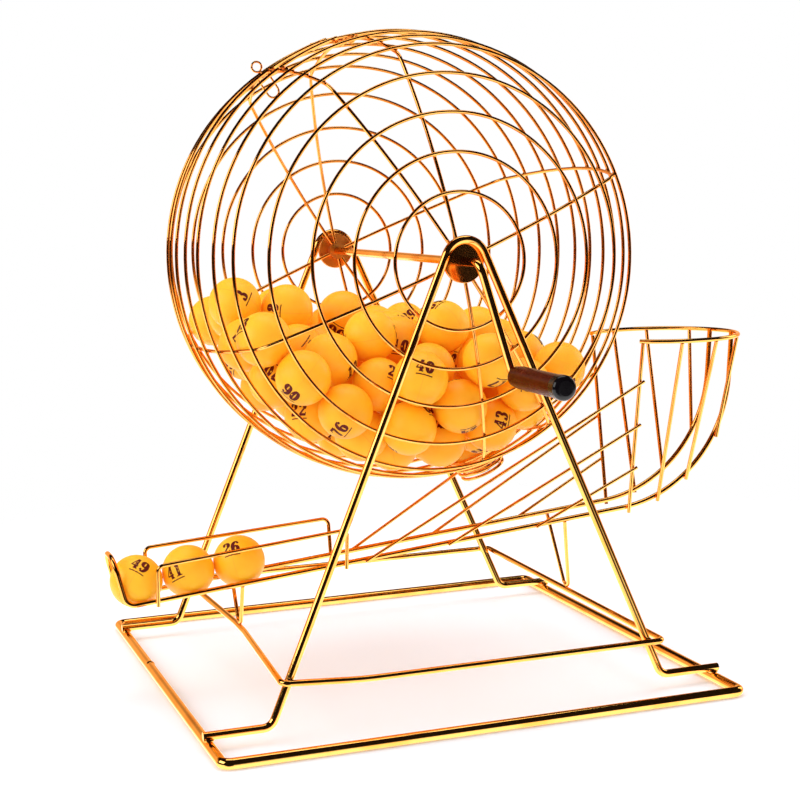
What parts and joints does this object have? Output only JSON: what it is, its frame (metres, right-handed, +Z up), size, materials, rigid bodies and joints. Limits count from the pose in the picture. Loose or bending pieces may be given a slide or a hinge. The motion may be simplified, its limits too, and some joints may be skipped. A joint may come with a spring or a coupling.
{
  "type": "raffle drum with crank",
  "caption": "Wire-cage raffle drum on a wire stand, turned by a side crank, with a hinged door, a ball outlet coil, a sloping rail chute, a catch tray and a funnel basket.",
  "frame": {"origin": "on the floor under the middle of the drum", "axes": "+Z up, +Y along the axle from the crank side to the rear, +X from the tray towards the basket"},
  "size_m": [0.5343, 0.4608, 0.4968],
  "materials": {
    "gold_wire": "polished gold-coloured plating on steel wire",
    "gold_plate": "polished gold-coloured plating on steel sheet",
    "ball_plastic": "satin yellow-orange",
    "grip_plastic": "glossy dark red-brown",
    "cap_plastic": "glossy black"
  },
  "bodies": {
    "root": {"base_ring": "gold_wire", "tie_ring": "gold_wire", "front_leg_frame": "gold_wire", "rear_leg_frame": "gold_wire", "front_bearing_disc": "gold_plate", "rear_bearing_disc": "gold_plate", "chute_rails": "gold_wire", "front_tray_guard": "gold_wire", "rear_tray_guard": "gold_wire", "tray_rail_support": "gold_wire", "basket_rail_support": "gold_wire", "front_trough_wires": "gold_wire", "rear_trough_wires": "gold_wire", "basket_rim": "gold_wire", "front_basket_ribs": "gold_wire", "rear_basket_ribs": "gold_wire", "drum_balls": "ball_plastic"},
    "drum": {"crank_rod": "gold_wire", "front_hub_collar": "gold_plate", "rear_hub_collar": "gold_plate", "cage_rib_right": "gold_wire", "cage_rib_door_hinge": "gold_wire", "cage_rib_door_latch": "gold_wire", "cage_rib_left": "gold_wire", "cage_rib_outlet_left": "gold_wire", "cage_rib_outlet_right": "gold_wire", "cage_ring_centre": "gold_wire", "front_barrel_ring_1": "gold_wire", "front_barrel_ring_2": "gold_wire", "front_barrel_ring_3": "gold_wire", "front_barrel_ring_4": "gold_wire", "rear_barrel_ring_1": "gold_wire", "rear_barrel_ring_2": "gold_wire", "rear_barrel_ring_3": "gold_wire", "rear_barrel_ring_4": "gold_wire", "front_face_ring_1": "gold_wire", "front_face_ring_2": "gold_wire", "front_face_ring_3": "gold_wire", "front_face_ring_4": "gold_wire", "rear_face_ring_1": "gold_wire", "rear_face_ring_2": "gold_wire", "rear_face_ring_3": "gold_wire", "rear_face_ring_4": "gold_wire", "outlet_coil": "gold_wire", "waiting_ball": "ball_plastic", "pin_retainer": "gold_plate"},
    "door": {"door_side_wires": "gold_wire", "door_bars": "gold_wire", "door_hinge_arms": "gold_wire"},
    "latch": {"door_latch": "gold_wire"},
    "grip": {"grip_collar": "grip_plastic", "grip_body": "grip_plastic", "grip_end_cap": "cap_plastic"},
    "drawn_balls": {"drawn_ball_1": "ball_plastic", "drawn_ball_2": "ball_plastic", "drawn_ball_3": "ball_plastic"}
  },
  "joints": [
    {"name": "drum_turn", "type": "hinge", "parent": "root", "child": "drum", "pos_m": [0, 0, 0.3245], "axis": [0, 1, 0], "continuous": true},
    {"name": "grip_spin", "type": "hinge", "parent": "drum", "child": "grip", "pos_m": [0.02343, -0.22, 0.24592], "axis": [0, 1, 0], "continuous": true},
    {"name": "door_swing", "type": "hinge", "parent": "drum", "child": "door", "pos_m": [-0.03352, 0, 0.48925], "axis": [0, 1, 0], "range_deg": [0, 148]},
    {"name": "latch_slide", "type": "slide", "parent": "drum", "child": "latch", "axis": [0, 1, 0], "range_m": [-0.0031, 0.01]},
    {"name": "drawn_balls_roll", "type": "slide", "parent": "root", "child": "drawn_balls", "axis": [0.9956, 0, 0.0936], "range_m": [0, 0.1]}
  ]
}
